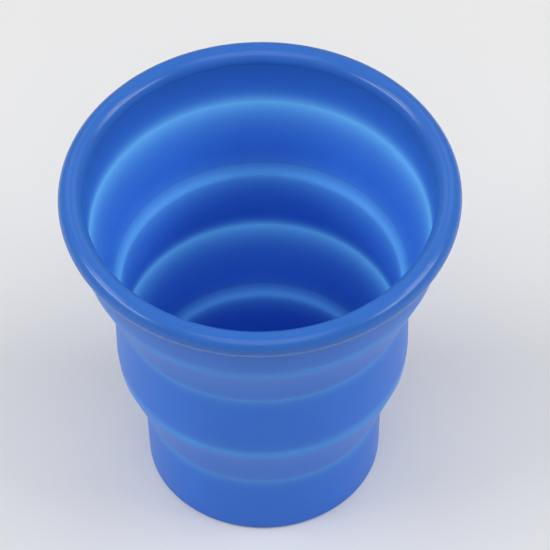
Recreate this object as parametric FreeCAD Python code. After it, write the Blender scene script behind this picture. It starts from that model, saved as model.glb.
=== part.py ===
"""Collapsible travel cup: one silicone moulding of three stiff rings and two folding webs.

Every piece is a ring of revolution about Z. Millimetres, +Z up, origin at the centre of the
underside of the base, cup standing open. Each moulded zone that moves on its own is one node.
"""
import FreeCAD
import Part
import math
import os

# Rim bead
RIM_RADIUS = 40.0
BEAD_RADIUS = 2.52
CUP_HEIGHT = 78.7
BEAD_WALL_ANGLE = 79.0  # where the wall leaves the bead, degrees below the horizontal

# Outer radii and heights of the folds, from the top down
UPPER_RING_FOOT_RADIUS = 35.8
UPPER_RING_FOOT_HEIGHT = 63.9
MIDDLE_RING_TOP_RADIUS = 29.5
MIDDLE_RING_TOP_HEIGHT = 48.5
MIDDLE_RING_FOOT_RADIUS = 29.25
MIDDLE_RING_FOOT_HEIGHT = 30.8
BASE_RING_TOP_RADIUS = 23.85
BASE_RING_TOP_HEIGHT = 16.0
BASE_RADIUS = 23.2

# Wall thicknesses
UPPER_WALL = 2.3
MIDDLE_WALL = 1.9
BASE_WALL = 1.9
WEB_WALL = 1.5
HINGE_WALL = 0.9
FLOOR_THICKNESS = 2.2

# Living hinges at both ends of each web
HINGE_LENGTH = 1.4
FLOOR_FILLET = 2.0
FOOT_ROUND = 0.8
FOLD_GAP = 0.03  # between a web's hinges and the rings beside them


def bead_centre():
    return RIM_RADIUS - BEAD_RADIUS, CUP_HEIGHT - BEAD_RADIUS


def bead_point(angle):
    """Point of the bead's round section, angle in degrees from its outermost point, up positive."""
    radius, height = bead_centre()
    turn = math.radians(angle)
    return radius + BEAD_RADIUS * math.cos(turn), height + BEAD_RADIUS * math.sin(turn)


def vector(point):
    return FreeCAD.Vector(point[0], 0, point[1])


def lines(points):
    return [Part.LineSegment(vector(a), vector(b)).toShape() for a, b in zip(points, points[1:])]


def revolve(edges):
    """Solid of revolution about Z of the closed section that the edges bound."""
    face = Part.Face(Part.Wire(edges))
    solid = face.revolve(FreeCAD.Vector(0, 0, 0), FreeCAD.Vector(0, 0, 1), 360)
    return solid if solid.Volume > 0 else solid.reversed()


def ring(points):
    return revolve(lines(points + points[:1]))


def along(start, end, distance):
    """Point at a distance from start on the line to end."""
    share = distance / math.dist(start, end)
    return start[0] + share * (end[0] - start[0]), start[1] + share * (end[1] - start[1])


def inward(start, end, point, wall):
    """Point one wall thickness inside the outer line that runs down from start to end."""
    length = math.dist(start, end)
    down = (end[0] - start[0]) / length, (end[1] - start[1]) / length
    return point[0] + wall * down[1], point[1] - wall * down[0]


def strip(start, end, first, last, wall):
    """Ring of even thickness under the outer line from start to end, between two distances."""
    a = along(start, end, first)
    b = along(start, end, last)
    return ring([a, b, inward(start, end, b, wall), inward(start, end, a, wall)])


BEAD_FOOT = bead_point(-BEAD_WALL_ANGLE)
BEAD_INSIDE = bead_point(180)
UPPER_FOOT = UPPER_RING_FOOT_RADIUS, UPPER_RING_FOOT_HEIGHT
MIDDLE_TOP = MIDDLE_RING_TOP_RADIUS, MIDDLE_RING_TOP_HEIGHT
MIDDLE_FOOT = MIDDLE_RING_FOOT_RADIUS, MIDDLE_RING_FOOT_HEIGHT
BASE_TOP = BASE_RING_TOP_RADIUS, BASE_RING_TOP_HEIGHT


def upper_inner_foot():
    """Inner edge of the upper ring's foot: a ring's ends are cut square to the web beside them."""
    return inward(UPPER_FOOT, MIDDLE_TOP, UPPER_FOOT, UPPER_WALL)


def joint_under_bead():
    """Inner edge of the level joint between the bead and the upper ring."""
    foot = upper_inner_foot()
    share = (BEAD_FOOT[1] - foot[1]) / (BEAD_INSIDE[1] - foot[1])
    return foot[0] + share * (BEAD_INSIDE[0] - foot[0]), BEAD_FOOT[1]


def rim_bead():
    """Rounded drinking edge, with a flat underside where the wall goes on."""
    arc = Part.Arc(vector(BEAD_FOOT), vector(bead_point(60)), vector(BEAD_INSIDE)).toShape()
    return revolve([arc] + lines([BEAD_INSIDE, joint_under_bead(), BEAD_FOOT]))


def upper_ring():
    """Stiff ring that carries the bead."""
    return ring([BEAD_FOOT, UPPER_FOOT, upper_inner_foot(), joint_under_bead()])


def middle_ring():
    """Stiff ring between the two webs."""
    inner_top = inward(UPPER_FOOT, MIDDLE_TOP, MIDDLE_TOP, MIDDLE_WALL)
    inner_foot = inward(MIDDLE_FOOT, BASE_TOP, MIDDLE_FOOT, MIDDLE_WALL)
    return ring([MIDDLE_TOP, MIDDLE_FOOT, inner_foot, inner_top])


def floor_radius():
    return BASE_RADIUS - BASE_WALL


def base_ring():
    """Lowest ring, with a rounded foot and a fillet up from the floor."""
    foot_turn = FOOT_ROUND * (1 - math.sqrt(0.5))
    foot = Part.Arc(vector((BASE_RADIUS, FOOT_ROUND)),
                    vector((BASE_RADIUS - foot_turn, foot_turn)),
                    vector((BASE_RADIUS - FOOT_ROUND, 0))).toShape()
    inside = floor_radius()
    turn = FLOOR_FILLET * (1 - math.sqrt(0.5))
    fillet = Part.Arc(vector((inside - FLOOR_FILLET, FLOOR_THICKNESS)),
                      vector((inside - turn, FLOOR_THICKNESS + turn)),
                      vector((inside, FLOOR_THICKNESS + FLOOR_FILLET))).toShape()
    under = lines([(BASE_RADIUS - FOOT_ROUND, 0), (inside - FLOOR_FILLET, 0),
                   (inside - FLOOR_FILLET, FLOOR_THICKNESS)])
    inner_top = inward(MIDDLE_FOOT, BASE_TOP, BASE_TOP, BASE_WALL)
    up = lines([(inside, FLOOR_THICKNESS + FLOOR_FILLET), inner_top, BASE_TOP,
                (BASE_RADIUS, FOOT_ROUND)])
    return revolve([foot] + under + [fillet] + up)


def base_floor():
    """Flat floor disc inside the base ring's foot."""
    return Part.makeCylinder(floor_radius() - FLOOR_FILLET, FLOOR_THICKNESS)


def fold(top, bottom):
    """Outer hinge, web and inner hinge of the fold whose outer line runs from top to bottom."""
    length = math.dist(top, bottom)
    return (
        strip(top, bottom, FOLD_GAP, HINGE_LENGTH, HINGE_WALL),
        strip(top, bottom, HINGE_LENGTH, length - HINGE_LENGTH, WEB_WALL),
        strip(top, bottom, length - HINGE_LENGTH, length - FOLD_GAP, HINGE_WALL),
    )


def build():
    upper = fold(UPPER_FOOT, MIDDLE_TOP)
    lower = fold(MIDDLE_FOOT, BASE_TOP)
    return {
        "rim_bead": rim_bead(),
        "upper_ring": upper_ring(),
        "upper_outer_hinge": upper[0],
        "upper_fold_web": upper[1],
        "upper_inner_hinge": upper[2],
        "middle_ring": middle_ring(),
        "lower_outer_hinge": lower[0],
        "lower_fold_web": lower[1],
        "lower_inner_hinge": lower[2],
        "base_ring": base_ring(),
        "base_floor": base_floor(),
    }


os.makedirs("parts", exist_ok=True)
for node, shape in build().items():
    shape.exportStep("parts/" + node + ".step")
    print(node, "valid", shape.isValid(), "volume", round(shape.Volume, 1))
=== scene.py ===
"""Collapsible silicone travel cup, standing open on a pale table.

Each visible piece is a closed lathe mesh, made from a few named corners that come from the CAD
boxes. The two webs are plain meshes between the rings, attached to no ring.
"""
import math

import bpy
import numpy as np
from mathutils import Matrix, Vector


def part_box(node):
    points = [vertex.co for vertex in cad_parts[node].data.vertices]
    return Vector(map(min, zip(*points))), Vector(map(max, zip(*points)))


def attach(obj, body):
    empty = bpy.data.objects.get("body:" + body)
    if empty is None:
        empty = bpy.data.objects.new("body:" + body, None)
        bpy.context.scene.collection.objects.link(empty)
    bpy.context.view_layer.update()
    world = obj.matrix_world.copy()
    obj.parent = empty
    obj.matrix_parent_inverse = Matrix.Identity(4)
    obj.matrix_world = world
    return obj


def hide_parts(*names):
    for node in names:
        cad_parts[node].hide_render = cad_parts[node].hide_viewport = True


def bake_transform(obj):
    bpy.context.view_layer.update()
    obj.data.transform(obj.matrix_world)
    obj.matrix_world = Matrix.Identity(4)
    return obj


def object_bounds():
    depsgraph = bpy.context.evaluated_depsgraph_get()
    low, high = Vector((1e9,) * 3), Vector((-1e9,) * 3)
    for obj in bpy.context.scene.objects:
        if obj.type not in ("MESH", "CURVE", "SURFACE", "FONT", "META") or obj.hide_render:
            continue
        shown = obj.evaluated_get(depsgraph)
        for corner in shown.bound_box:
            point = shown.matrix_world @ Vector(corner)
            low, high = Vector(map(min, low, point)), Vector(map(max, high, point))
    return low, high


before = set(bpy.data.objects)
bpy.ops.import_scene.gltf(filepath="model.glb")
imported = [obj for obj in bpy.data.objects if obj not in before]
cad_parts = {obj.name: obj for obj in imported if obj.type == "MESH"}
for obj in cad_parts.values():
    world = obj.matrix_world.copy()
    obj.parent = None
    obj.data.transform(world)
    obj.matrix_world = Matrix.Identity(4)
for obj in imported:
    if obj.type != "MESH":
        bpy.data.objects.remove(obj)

cad_lo, cad_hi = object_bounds()

MM = 0.001
SEGMENTS = 288  # facets round the axis
BEAD_POINTS = 72
STEP = 0.45 * MM  # longest run between two points of an outline

# Camera: the view that the cup is seen from
CAMERA_DISTANCE = 2.0445
CAMERA_PITCH = math.radians(50.30)
CAMERA_YAW = 0.0021
CAMERA_ROLL = -0.0159
CAMERA_LENS = 671.0
CAMERA_AIM = Vector((2.74 * MM, 0, 52.2 * MM))

# Section of the wall
BEAD_WALL_ANGLE = math.radians(79)  # where the outer wall leaves the bead, below the horizontal
BEAD_INSIDE_ANGLE = math.radians(184)  # where the inner wall leaves the bead
BEAD_LENGTH = cad_hi.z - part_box("rim_bead")[0].z
BEAD_RADIUS = BEAD_LENGTH / (1 + math.sin(BEAD_WALL_ANGLE))
UPPER_WALL = 1.85 * MM
MIDDLE_WALL = 1.55 * MM
BASE_WALL = 1.5 * MM
FLOOR_THICKNESS = 2.2 * MM
BASE_TAPER = 0.65 * MM
# Inner edges of the rings stand this much above their outer edges
UPPER_FOOT_RISE = 2.2 * MM
MIDDLE_TOP_RISE = 1.2 * MM
MIDDLE_FOOT_RISE = 4.2 * MM
BASE_TOP_RISE = 2.4 * MM
SHOULDER_RISE = 2.6 * MM  # slope of a ring's top, from its inner edge up to the web
OUTSIDE_FACING = 0.35  # share of a face's normal away from the axis, above which it is outside
# Light of the fold lines inside: fades above and below the line, and strengths, upper line first
UPPER_FADES = ((1.4 * MM, 2.9 * MM), (1.6 * MM, 3.4 * MM))
UPPER_STRENGTHS = (1.0, 0.68)
LOWER_FADES = ((0.9 * MM, 2.6 * MM), (1.1 * MM, 1.8 * MM))
LOWER_STRENGTHS = (1.05, 0.70)
LINE_CORE = 0.4 * MM  # half width of the brightest part of a fold line
BEAD_SHADE_FADE = 3.0 * MM  # length over which the bead's deeper blue fades down the wall, as painted shade under the bead
HINGE_MARGIN = 0.3 * MM  # width of the web's ends that stay with their rings


class Section:
    """Outer and inner corners of the wall as (radius, height), taken from the CAD boxes."""

    def __init__(self):
        lows = {n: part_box(n)[0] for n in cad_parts}
        highs = {n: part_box(n)[1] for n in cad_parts}
        self.bead = (cad_hi.x - BEAD_RADIUS, cad_hi.z - BEAD_RADIUS)
        self.upper_foot = (highs["upper_outer_hinge"].x, lows["upper_ring"].z)
        self.middle_top = (highs["middle_ring"].x, lows["upper_inner_hinge"].z)
        self.middle_foot = (highs["lower_outer_hinge"].x, lows["middle_ring"].z)
        self.base_top = (highs["base_ring"].x, lows["lower_inner_hinge"].z)
        self.base_foot = (self.base_top[0] - BASE_TAPER, 0.0)

    def bead_point(self, angle, radius=BEAD_RADIUS):
        return (self.bead[0] + radius * math.cos(angle), self.bead[1] + radius * math.sin(angle))


section = Section()


def shifted(point, inward, up):
    return (point[0] - inward, point[1] + up)


# ---------------------------------------------------------------- outlines

def fillet_points(before, corner, after, radius):
    """Points of the arc that rounds a corner, or the corner itself where radius is 0."""
    if radius <= 0:
        return [corner]
    p, a, b = Vector(corner), Vector(before), Vector(after)
    to_a, to_b = (a - p), (b - p)
    half = to_a.angle(to_b) / 2
    if half > math.radians(89.5):
        return [corner]
    reach = min(radius / math.tan(half), 0.48 * to_a.length, 0.48 * to_b.length)
    radius = reach * math.tan(half)
    start, end = p + to_a.normalized() * reach, p + to_b.normalized() * reach
    centre = p + (to_a.normalized() + to_b.normalized()).normalized() * (radius / math.sin(half))
    first, last = start - centre, end - centre
    turn = first.angle_signed(last)
    count = max(4, int(abs(turn) / math.radians(9)) + 1)
    return [tuple(centre + Matrix.Rotation(-turn * k / count, 2) @ first) for k in range(count + 1)]


def outline(corners):
    """Closed outline with rounded corners, from (point, radius) pairs, in steps of at most STEP.

    The corners run anticlockwise, radius to the right and height up, so that faces look outwards.
    """
    points = []
    for k, (corner, radius) in enumerate(corners):
        before, after = corners[k - 1][0], corners[(k + 1) % len(corners)][0]
        points += fillet_points(before, corner, after, radius)
    dense = []
    for a, b in zip(points, points[1:] + points[:1]):
        count = max(1, math.ceil(math.dist(a, b) / STEP))
        dense += [(a[0] + (b[0] - a[0]) * k / count, a[1] + (b[1] - a[1]) * k / count)
                  for k in range(count)]
    return dense


def bead_outline():
    """Round bead, as a full circle."""
    return [section.bead_point(2 * math.pi * k / BEAD_POINTS) for k in range(BEAD_POINTS)]


def upper_ring_outline():
    """Wall under the bead: it starts inside the bead and ends in a slanted foot."""
    foot = section.bead_point(-BEAD_WALL_ANGLE)
    inside = section.bead_point(BEAD_INSIDE_ANGLE)
    inner = shifted(section.upper_foot, UPPER_WALL, UPPER_FOOT_RISE)
    return outline([
        (section.bead, 0),
        (inside, 0),
        (inner, 0.6 * MM),
        (section.upper_foot, 0.5 * MM),
        (foot, 0),
    ])


def middle_ring_outline():
    """Ring between the webs, with a rounded ledge on top."""
    top, foot = section.middle_top, section.middle_foot
    return outline([
        (top, 0),
        (shifted(top, 0, MIDDLE_TOP_RISE + SHOULDER_RISE), 0),
        (shifted(top, MIDDLE_WALL, MIDDLE_TOP_RISE), 1.8 * MM),
        (shifted(foot, MIDDLE_WALL, MIDDLE_FOOT_RISE), 0.6 * MM),
        (foot, 0.5 * MM),
    ])


def base_outline():
    """Base ring and floor in one, from the axis under the floor round to the axis above it."""
    top, foot = section.base_top, section.base_foot
    inner_foot = foot[0] - BASE_WALL
    return outline([
        ((0.0, 0.0), 0),
        (foot, 0.8 * MM),
        (top, 0),
        (shifted(top, 0, BASE_TOP_RISE + SHOULDER_RISE), 0),
        (shifted(top, BASE_WALL, BASE_TOP_RISE), 1.8 * MM),
        ((inner_foot, FLOOR_THICKNESS), 2.5 * MM),
        ((0.0, FLOOR_THICKNESS), 0),
    ])


def web_outline(top, bottom, wall, foot_rise, ledge_rise):
    """Web from its ledge up into the foot of the ring above."""
    inner_top = shifted(top, wall, foot_rise)
    inner_bottom = shifted(bottom, 0, ledge_rise + SHOULDER_RISE)
    rise = (inner_top[1] - inner_bottom[1]) / (inner_top[0] - inner_bottom[0])
    reach = top[0] - HINGE_MARGIN - inner_top[0]
    buried = (inner_top[0] + reach, inner_top[1] + rise * reach)
    slope = (top[1] - bottom[1]) / (top[0] - bottom[0])
    under = (top[0] - HINGE_MARGIN, top[1] - slope * HINGE_MARGIN)
    return outline([(bottom, 0), (under, 0), (buried, 0), (inner_top, 0), (inner_bottom, 0)])


# ---------------------------------------------------------------- meshes

def lathe(name, points):
    """Closed mesh of revolution about Z; points on the axis become one vertex each."""
    on_axis = [abs(r) < 1e-7 for r, _ in points]
    verts, rows = [], []
    for (r, z), axial in zip(points, on_axis):
        first = len(verts)
        if axial:
            verts.append((0.0, 0.0, z))
            rows.append([first] * SEGMENTS)
            continue
        for k in range(SEGMENTS):
            turn = 2 * math.pi * k / SEGMENTS
            verts.append((r * math.cos(turn), r * math.sin(turn), z))
        rows.append(list(range(first, first + SEGMENTS)))
    faces = []
    for i in range(len(points)):
        a, b = rows[i], rows[(i + 1) % len(points)]
        if on_axis[i] and on_axis[(i + 1) % len(points)]:
            continue
        for k in range(SEGMENTS):
            n = (k + 1) % SEGMENTS
            quad = [a[k], a[n], b[n], b[k]]
            faces.append(tuple(dict.fromkeys(quad)))
    mesh = bpy.data.meshes.new(name)
    mesh.from_pydata(verts, [], faces)
    mesh.validate()
    mesh.polygons.foreach_set("use_smooth", [True] * len(mesh.polygons))
    mesh.set_sharp_from_angle(angle=math.radians(35))
    piece = bpy.data.objects.new(name, mesh)
    bpy.context.scene.collection.objects.link(piece)
    return piece


def radii_and_heights(piece):
    """Radius and height of every vertex, as two arrays."""
    radii = np.array([math.hypot(v.co.x, v.co.y) for v in piece.data.vertices])
    heights = np.array([v.co.z for v in piece.data.vertices])
    return radii, heights


def store(piece, name, values):
    """Keep one number per vertex under a name that the material reads."""
    layer = piece.data.attributes.new(name, "FLOAT", "POINT")
    layer.data.foreach_set("value", values.astype(np.float32))


def glow(piece, inner_lines, outer_lines):
    """Point attribute of painted light, highest on the fold lines and fading away from them.

    The inner lines, a painted glow standing in for light let through the hinges, show on the faces
    that look towards the axis; the outer lines, painted light lines on the creases, on the others.
    """
    radii, heights = radii_and_heights(piece)
    outward = np.array([v.normal.x * v.co.x + v.normal.y * v.co.y for v in piece.data.vertices])
    outside = outward / np.maximum(radii, MM) > OUTSIDE_FACING
    value = np.zeros(len(radii))
    for lines, shown in ((inner_lines, ~outside), (outer_lines, outside)):
        for (radius, height), fade_above, fade_below, strength in lines:
            gap = np.hypot(radii - radius, heights - height)
            rounded = np.hypot(gap, LINE_CORE) - LINE_CORE
            fade = np.where(heights < height, fade_below, fade_above)
            value = np.maximum(value, shown * strength * np.exp(-rounded / fade))
    # Painted light on the fold lines, read by the material
    store(piece, "painted_glow_lines", value)


def store_bead_tone_and_shade(piece):
    """Point attribute that is 1 on the bead and fades to 0 down the wall under it: the bead's
    deeper blue, faded down the wall as painted shade under the bead.
    """
    radii, heights = radii_and_heights(piece)
    depth = np.hypot(radii - section.bead[0], heights - section.bead[1]) - BEAD_RADIUS
    # Painted shade under the bead, on top of the bead's deeper blue
    store(piece, "bead_blue_and_painted_shade", np.exp(-np.maximum(depth, 0) / BEAD_SHADE_FADE))


# ---------------------------------------------------------------- materials

WALL_BLUE = (0.040, 0.182, 0.70)
BEAD_BLUE = (0.034, 0.155, 0.55)
# Paler blue painted on the fold lines as light; the glow colour below is emitted there
PAINTED_GLOW_BLUE = (0.14, 0.42, 0.80)
THROUGH_BLUE = (0.14, 0.60, 1.0)
LIGHT_THROUGH = 0.16  # strength of the painted glow on the fold lines, standing in for light let through the hinges
MOTTLE_SCALE = 90
GRAIN_SCALE = 2600


def attribute(tree, name):
    node = tree.nodes.new("ShaderNodeAttribute")
    node.attribute_name = name
    return node.outputs["Fac"]


def noise(tree, scale, detail):
    place = tree.nodes.new("ShaderNodeTexCoord")
    node = tree.nodes.new("ShaderNodeTexNoise")
    node.inputs["Scale"].default_value = scale
    node.inputs["Detail"].default_value = detail
    tree.links.new(place.outputs["Object"], node.inputs["Vector"])
    return node.outputs["Fac"]


def ranged(tree, source, low, high):
    node = tree.nodes.new("ShaderNodeMapRange")
    node.inputs["To Min"].default_value = low
    node.inputs["To Max"].default_value = high
    tree.links.new(source, node.inputs["Value"])
    return node.outputs["Result"]


def mixed(tree, factor, base, colour):
    """Base, a colour or a socket, turning into a fixed colour by a factor."""
    node = tree.nodes.new("ShaderNodeMix")
    node.data_type = "RGBA"
    node.inputs["B"].default_value = (*colour, 1)
    tree.links.new(factor, node.inputs["Factor"])
    if isinstance(base, tuple):
        node.inputs["A"].default_value = (*base, 1)
    else:
        tree.links.new(base, node.inputs["A"])
    return node.outputs["Result"]


def silicone_colour(tree, glow_mask, mottle):
    """Deeper blue on the bead and faded below it as painted shade, paler painted light on the fold
    lines, faintly mottled.
    """
    # Painted shade: the bead's deeper blue fades down the wall under the bead
    wall = mixed(tree, attribute(tree, "bead_blue_and_painted_shade"), WALL_BLUE, BEAD_BLUE)
    # Painted light: paler blue on the fold lines
    body = mixed(tree, glow_mask, wall, PAINTED_GLOW_BLUE)
    tint = tree.nodes.new("ShaderNodeVectorMath")
    tint.operation = "SCALE"
    tree.links.new(body, tint.inputs[0])
    tree.links.new(ranged(tree, mottle, 0.94, 1.06), tint.inputs["Scale"])
    return tint.outputs["Vector"]


def grain_normal(tree):
    """Fine matt grain of the moulded surface."""
    bump = tree.nodes.new("ShaderNodeBump")
    bump.inputs["Strength"].default_value = 0.08
    bump.inputs["Distance"].default_value = 0.05 * MM
    tree.links.new(noise(tree, GRAIN_SCALE, 3), bump.inputs["Height"])
    return bump.outputs["Normal"]


def silicone(name, roughness, specular):
    """Satin moulded silicone, with some light scattered inside, and a painted glow on the fold
    lines for light let through the hinges.
    """
    material = bpy.data.materials.new(name)
    material.use_nodes = True
    tree = material.node_tree
    shader = tree.nodes["Principled BSDF"].inputs
    glow_mask = attribute(tree, "painted_glow_lines")
    mottle = noise(tree, MOTTLE_SCALE, 4)
    tree.links.new(silicone_colour(tree, glow_mask, mottle), shader["Base Color"])
    tree.links.new(ranged(tree, mottle, roughness - 0.05, roughness + 0.05), shader["Roughness"])
    tree.links.new(grain_normal(tree), shader["Normal"])
    # Painted glow: the fold lines emit a little blue light
    tree.links.new(ranged(tree, glow_mask, 0, LIGHT_THROUGH), shader["Emission Strength"])
    shader["Emission Color"].default_value = (*THROUGH_BLUE, 1)
    shader["IOR"].default_value = 1.39
    shader["Specular IOR Level"].default_value = specular
    shader["Subsurface Weight"].default_value = 0.35
    shader["Subsurface Radius"].default_value = (0.35, 0.7, 1.5)
    shader["Subsurface Scale"].default_value = 1.0 * MM
    return material


# ---------------------------------------------------------------- pieces

def rigid_piece(name, points, body, nodes, lines, material):
    piece = lathe(name, points)
    glow(piece, *lines)
    store_bead_tone_and_shade(piece)
    piece.data.materials.append(material)
    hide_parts(*nodes)
    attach(piece, body)


def web_piece(name, top, bottom, shape, nodes, lines, material):
    piece = lathe(name, web_outline(top, bottom, *shape))
    glow(piece, *lines)
    store_bead_tone_and_shade(piece)
    piece.data.materials.append(material)
    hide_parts(*nodes)
    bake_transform(piece)


def fold_lines(top, bottom, walls, foot_rise, ledge_rise, fades, strengths):
    """Lines of painted light at both ends of a web, inside and outside: place, fade above and
    below, strength.
    """
    upper_wall, lower_wall = walls
    inner = [
        (shifted(top, upper_wall, foot_rise), *fades[0], strengths[0]),
        (shifted(bottom, 0.85 * lower_wall, ledge_rise + 0.3 * SHOULDER_RISE), *fades[1],
         strengths[1]),
    ]
    outer = [
        (top, 0.9 * MM, 0.9 * MM, 0.38),
        (bottom, 0.8 * MM, 0.8 * MM, 0.28),
    ]
    return inner, outer


def build_cup():
    material = silicone("blue_silicone", 0.34, 0.20)
    bead_material = silicone("blue_silicone_polished", 0.22, 0.45)
    upper = fold_lines(section.upper_foot, section.middle_top, (UPPER_WALL, MIDDLE_WALL),
                       UPPER_FOOT_RISE, MIDDLE_TOP_RISE, UPPER_FADES, UPPER_STRENGTHS)
    lower = fold_lines(section.middle_foot, section.base_top, (MIDDLE_WALL, BASE_WALL),
                       MIDDLE_FOOT_RISE, BASE_TOP_RISE, LOWER_FADES, LOWER_STRENGTHS)
    both = (upper[0] + lower[0], upper[1] + lower[1])
    # Painted highlight: a faint light line where the outer wall leaves the bead
    bead_highlight_line = [(section.bead_point(-BEAD_WALL_ANGLE), 0.6 * MM, 0.6 * MM, 0.10)]
    rigid_piece("rim_bead_soft", bead_outline(), "upper", ["rim_bead"],
                ([], bead_highlight_line), bead_material)
    rigid_piece("upper_ring_wall", upper_ring_outline(), "upper",
                ["upper_ring"], (upper[0], upper[1] + bead_highlight_line), material)
    rigid_piece("middle_ring_wall", middle_ring_outline(), "middle",
                ["middle_ring"], both, material)
    rigid_piece("base_cup", base_outline(), "base",
                ["base_ring", "base_floor"], lower, material)
    web_piece("upper_web", section.upper_foot, section.middle_top,
              (UPPER_WALL, UPPER_FOOT_RISE, MIDDLE_TOP_RISE),
              ["upper_outer_hinge", "upper_fold_web", "upper_inner_hinge"],
              upper, material)
    web_piece("lower_web", section.middle_foot, section.base_top,
              (MIDDLE_WALL, MIDDLE_FOOT_RISE, BASE_TOP_RISE),
              ["lower_outer_hinge", "lower_fold_web", "lower_inner_hinge"],
              lower, material)


# ---------------------------------------------------------------- stage

def table_top():
    """Large plain pale table."""
    mesh = bpy.data.meshes.new("table_top")
    half = 3.0
    mesh.from_pydata([(-half, -half, 0), (half, -half, 0), (half, half, 0), (-half, half, 0)],
                     [], [(0, 1, 2, 3)])
    table = bpy.data.objects.new("table_top", mesh)
    bpy.context.scene.collection.objects.link(table)
    material = bpy.data.materials.new("pale_table")
    material.use_nodes = True
    shader = material.node_tree.nodes["Principled BSDF"]
    shader.inputs["Base Color"].default_value = (0.81, 0.808, 0.80, 1)
    shader.inputs["Roughness"].default_value = 0.6
    mesh.materials.append(material)


def softbox(name, direction, distance, size, power):
    data = bpy.data.lights.new(name, "AREA")
    data.shape = "RECTANGLE"
    data.size, data.size_y = size
    data.energy = power
    lamp = bpy.data.objects.new(name, data)
    aim = Vector((0, 0, cad_hi.z / 2))
    way = Vector(direction).normalized()
    lamp.location = aim + way * distance
    lamp.rotation_euler = way.to_track_quat("Z", "Y").to_euler()
    bpy.context.scene.collection.objects.link(lamp)


def studio():
    """Pale room: long boxes at both sides, weak ones behind, and a large one above the front."""
    for side in (-1, 1):
        softbox("side_box", (0.80 * side, -0.12, 0.60), 0.7, (0.42, 0.11), 1.6)
        softbox("high_side_box", (0.62 * side, 0.14, 0.77), 0.7, (0.20, 0.06), 0.45)
        softbox("back_box", (0.35 * side, 0.70, 0.75), 0.9, (0.35, 0.35), 0.35)
    softbox("top_box", (0.0, -0.45, 1.0), 1.1, (0.8, 0.8), 3.5)
    world = bpy.data.worlds.new("studio_air")
    world.use_nodes = True
    world.node_tree.nodes["Background"].inputs["Color"].default_value = (0.88, 0.88, 0.90, 1)
    world.node_tree.nodes["Background"].inputs["Strength"].default_value = 0.33
    bpy.context.scene.world = world
    bpy.context.scene.view_settings.view_transform = "Standard"


def camera():
    """Long lens, looking down at the cup."""
    ahead = Vector((math.sin(CAMERA_YAW) * math.cos(CAMERA_PITCH),
                    math.cos(CAMERA_YAW) * math.cos(CAMERA_PITCH),
                    -math.sin(CAMERA_PITCH)))
    level = ahead.cross(Vector((0, 0, 1))).normalized()
    upward = level.cross(ahead)
    right = level * math.cos(CAMERA_ROLL) + upward * math.sin(CAMERA_ROLL)
    up = upward * math.cos(CAMERA_ROLL) - level * math.sin(CAMERA_ROLL)
    data = bpy.data.cameras.new("camera")
    data.lens = CAMERA_LENS
    data.sensor_width = 36.0
    data.clip_end = 10
    eye = bpy.data.objects.new("camera", data)
    turn = Matrix((right, up, -ahead)).transposed().to_4x4()
    eye.matrix_world = Matrix.Translation(CAMERA_AIM - ahead * CAMERA_DISTANCE) @ turn
    bpy.context.scene.collection.objects.link(eye)
    bpy.context.scene.camera = eye


camera()
build_cup()
table_top()
studio()
